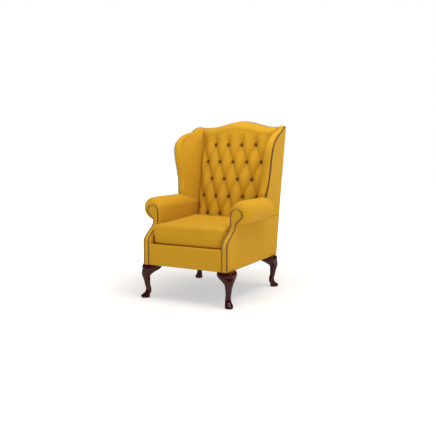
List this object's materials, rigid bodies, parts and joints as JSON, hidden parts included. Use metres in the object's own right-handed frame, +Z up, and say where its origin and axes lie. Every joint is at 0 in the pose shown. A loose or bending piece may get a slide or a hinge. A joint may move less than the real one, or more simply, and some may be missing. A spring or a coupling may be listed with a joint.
{
  "type": "wingback armchair",
  "caption": "Wingback armchair with a deep-buttoned back, rolled scroll arms, a loose seat cushion, nail-head trim and dark cabriole legs.",
  "frame": {"origin": "on the floor, under the middle of the chair's bounding box", "axes": "+X to the right as the chair is faced from the front, +Y to its back, +Z up; the chair faces -Y"},
  "size_m": [0.738, 0.7946, 1.0756],
  "materials": {
    "timber": "unfinished frame hardwood, hidden",
    "leg": "glossy dark red-brown mahogany stain",
    "fabric": "matte mustard-yellow flat weave with a fine grain",
    "webbing": "jute straps, hidden",
    "lining": "plain dark lining cloth",
    "nail": "aged pewter-coloured domed nail heads"
  },
  "bodies": {
    "frame": {"front_seat_rail": "timber", "rear_seat_rail": "timber", "side_seat_rail_right": "timber", "side_seat_rail_left": "timber", "arm_post_right": "timber", "arm_post_left": "timber", "arm_rail_right": "timber", "arm_rail_left": "timber", "back_post_right": "timber", "back_post_left": "timber", "wing_board_right": "timber", "wing_board_left": "timber", "crest_rail": "timber", "leg_front_right": "leg", "leg_front_left": "leg", "leg_rear_right": "leg", "leg_rear_left": "leg", "seat_webbing": "webbing", "back_webbing": "webbing", "dust_cover": "lining", "seat_deck": "lining", "front_border": "fabric", "back_pad": "fabric", "arm_pad_right": "fabric", "arm_pad_left": "fabric", "wing_pad_right": "fabric", "wing_pad_left": "fabric", "outside_arm_right": "fabric", "outside_arm_left": "fabric", "outside_wing_right": "fabric", "outside_wing_left": "fabric", "outside_back": "fabric", "arm_facing_right": "fabric", "arm_facing_left": "fabric", "button_1_1": "fabric", "button_1_2": "fabric", "button_1_3": "fabric", "button_1_4": "fabric", "button_2_1": "fabric", "button_2_2": "fabric", "button_2_3": "fabric", "button_2_4": "fabric", "button_2_5": "fabric", "button_3_1": "fabric", "button_3_2": "fabric", "button_3_3": "fabric", "button_3_4": "fabric", "button_4_1": "fabric", "button_4_2": "fabric", "button_4_3": "fabric", "button_4_4": "fabric", "button_4_5": "fabric", "button_5_1": "fabric", "button_5_2": "fabric", "button_5_3": "fabric", "button_5_4": "fabric", "arm_nails_right": "nail", "arm_nails_left": "nail", "wing_nails": "nail"},
    "seat_cushion": {"seat_cushion": "fabric"}
  },
  "joints": [
    {"name": "cushion_lift", "type": "slide", "parent": "frame", "child": "seat_cushion", "axis": [0, 0, 1], "range_m": [0, 0.3]}
  ]
}
